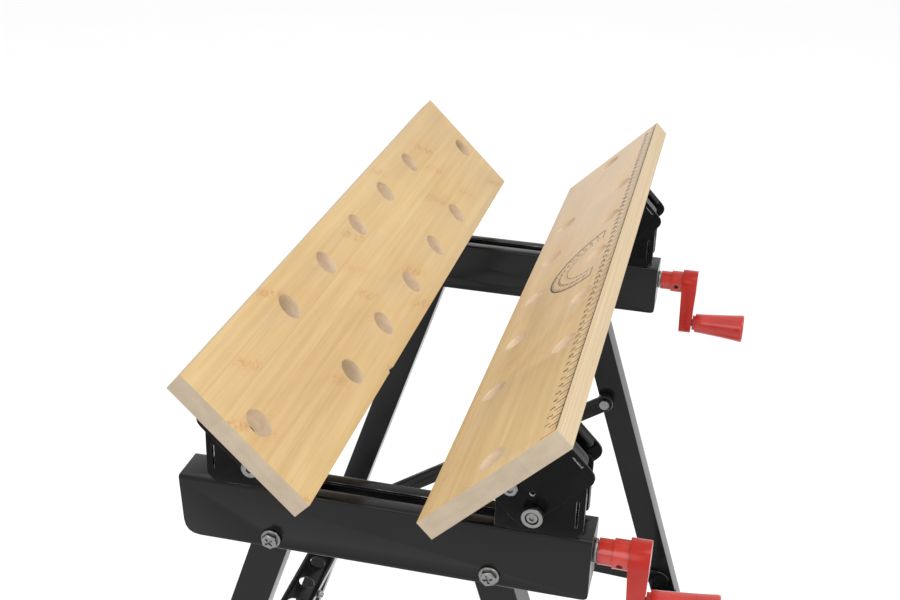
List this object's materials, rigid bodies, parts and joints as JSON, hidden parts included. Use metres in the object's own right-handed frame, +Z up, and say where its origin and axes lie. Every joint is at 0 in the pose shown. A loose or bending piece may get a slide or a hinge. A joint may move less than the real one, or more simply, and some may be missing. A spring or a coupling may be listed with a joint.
{
  "type": "folding clamping workbench",
  "caption": "Folding clamping workbench with tilting drilled bamboo jaws on slotted steel rails, closed by hand cranks, on a splayed folding stand.",
  "frame": {"origin": "on the floor under the middle of the bench", "axes": "+X along the jaws, +Y along the rails away from the cranks, +Z up"},
  "size_m": [0.605, 0.6126, 0.8126],
  "materials": {
    "bamboo": "satin lacquered laminated bamboo",
    "black_paint": "gloss black paint on steel",
    "zinc": "bright zinc plated steel",
    "red_plastic": "gloss red plastic",
    "black_rubber": "matt black rubber"
  },
  "bodies": {
    "frame": {"left_rail": "black_paint", "back_left_carriage": "black_paint", "front_left_leg_bolt": "zinc", "back_left_leg_bolt": "zinc", "left_thrust_washer": "zinc", "right_rail": "black_paint", "back_right_carriage": "black_paint", "front_right_leg_bolt": "zinc", "back_right_leg_bolt": "zinc", "right_thrust_washer": "zinc"},
    "front_carriages": {"front_left_carriage": "black_paint", "left_travel_nut": "zinc", "front_right_carriage": "black_paint", "right_travel_nut": "zinc"},
    "left_crank": {"left_crank_arm": "red_plastic", "left_lead_screw": "zinc", "left_set_screw": "black_paint"},
    "left_grip": {"left_crank_grip": "red_plastic"},
    "right_crank": {"right_crank_arm": "red_plastic", "right_lead_screw": "zinc", "right_set_screw": "black_paint"},
    "right_grip": {"right_crank_grip": "red_plastic"},
    "back_jaw": {"back_jaw_board": "bamboo", "back_left_tilt_bracket": "black_paint", "back_left_pivot_screw": "zinc", "back_left_lock_screw": "zinc", "back_right_tilt_bracket": "black_paint", "back_right_pivot_screw": "zinc", "back_right_lock_screw": "zinc"},
    "front_jaw": {"front_jaw_board": "bamboo", "front_left_tilt_bracket": "black_paint", "front_left_pivot_screw": "zinc", "front_left_lock_screw": "zinc", "front_left_pivot_collar": "zinc", "front_right_tilt_bracket": "black_paint", "front_right_pivot_screw": "zinc", "front_right_lock_screw": "zinc", "front_right_pivot_collar": "zinc"},
    "front_legs": {"front_cross_member": "black_paint", "front_left_leg": "black_paint", "front_left_foot": "black_rubber", "left_link_pin": "zinc", "front_right_leg": "black_paint", "front_right_foot": "black_rubber", "right_link_pin": "zinc"},
    "back_legs": {"back_cross_member": "black_paint", "back_left_leg": "black_paint", "back_left_foot": "black_rubber", "left_stay_pin": "zinc", "left_cross_member_screw": "zinc", "back_right_leg": "black_paint", "back_right_foot": "black_rubber", "right_stay_pin": "zinc", "right_cross_member_screw": "zinc"},
    "left_link": {"left_link_bar": "black_paint", "left_link_end_pin": "zinc"},
    "left_stay": {"left_stay_bar": "black_paint"},
    "right_link": {"right_link_bar": "black_paint", "right_link_end_pin": "zinc"},
    "right_stay": {"right_stay_bar": "black_paint"}
  },
  "joints": [
    {"name": "front_jaw_slide", "type": "slide", "parent": "frame", "child": "front_carriages", "axis": [0, 1, 0], "range_m": [0, 0.065]},
    {"name": "left_crank_turn", "type": "hinge", "parent": "frame", "child": "left_crank", "pos_m": [-0.2255, -0.15, 0.6837], "axis": [0, 1, 0], "range_deg": [0, 5850]},
    {"name": "right_crank_turn", "type": "hinge", "parent": "frame", "child": "right_crank", "pos_m": [0.2255, -0.15, 0.6837], "axis": [0, 1, 0], "range_deg": [0, 5850]},
    {"name": "left_grip_spin", "type": "hinge", "parent": "left_crank", "child": "left_grip", "pos_m": [-0.21777, -0.19, 0.64394], "axis": [0, 1, 0], "continuous": true},
    {"name": "right_grip_spin", "type": "hinge", "parent": "right_crank", "child": "right_grip", "pos_m": [0.2255, -0.19, 0.6432], "axis": [0, 1, 0], "continuous": true},
    {"name": "back_jaw_tilt", "type": "hinge", "parent": "frame", "child": "back_jaw", "pos_m": [0, 0.087, 0.716], "axis": [1, 0, 0], "range_deg": [-44, 0]},
    {"name": "front_jaw_tilt", "type": "hinge", "parent": "front_carriages", "child": "front_jaw", "pos_m": [0, -0.1015, 0.716], "axis": [1, 0, 0], "range_deg": [0, 44]},
    {"name": "front_legs_fold", "type": "hinge", "parent": "frame", "child": "front_legs", "pos_m": [0, -0.075, 0.6615], "axis": [1, 0, 0], "range_deg": [0, 96]},
    {"name": "back_legs_fold", "type": "hinge", "parent": "frame", "child": "back_legs", "pos_m": [0, 0.075, 0.6615], "axis": [1, 0, 0], "range_deg": [0, 66.5]},
    {"name": "left_link_swing", "type": "hinge", "parent": "front_legs", "child": "left_link", "pos_m": [-0.2055, -0.10252, 0.55447], "axis": [1, 0, 0], "range_deg": [-65.5, 0.5]},
    {"name": "left_stay_swing", "type": "hinge", "parent": "back_legs", "child": "left_stay", "pos_m": [-0.2112, 0.16801, 0.37523], "axis": [1, 0, 0], "range_deg": [-66.5, 0.5]},
    {"name": "right_link_swing", "type": "hinge", "parent": "front_legs", "child": "right_link", "pos_m": [0.2055, -0.10252, 0.55447], "axis": [1, 0, 0], "range_deg": [-65.5, 0.5]},
    {"name": "right_stay_swing", "type": "hinge", "parent": "back_legs", "child": "right_stay", "pos_m": [0.2112, 0.16801, 0.37523], "axis": [1, 0, 0], "range_deg": [-66.5, 0.5]}
  ],
  "couplings": [
    {"joint": "left_crank_turn", "follows": "front_jaw_slide", "rad_per_m": 1570.7},
    {"joint": "right_crank_turn", "follows": "front_jaw_slide", "rad_per_m": 1570.7},
    {"joint": "back_legs_fold", "follows": "front_legs_fold", "ratio": 0.6875},
    {"joint": "left_link_swing", "follows": "front_legs_fold", "ratio": -0.678},
    {"joint": "left_stay_swing", "follows": "front_legs_fold", "ratio": -0.6875},
    {"joint": "right_link_swing", "follows": "front_legs_fold", "ratio": -0.678},
    {"joint": "right_stay_swing", "follows": "front_legs_fold", "ratio": -0.6875}
  ]
}
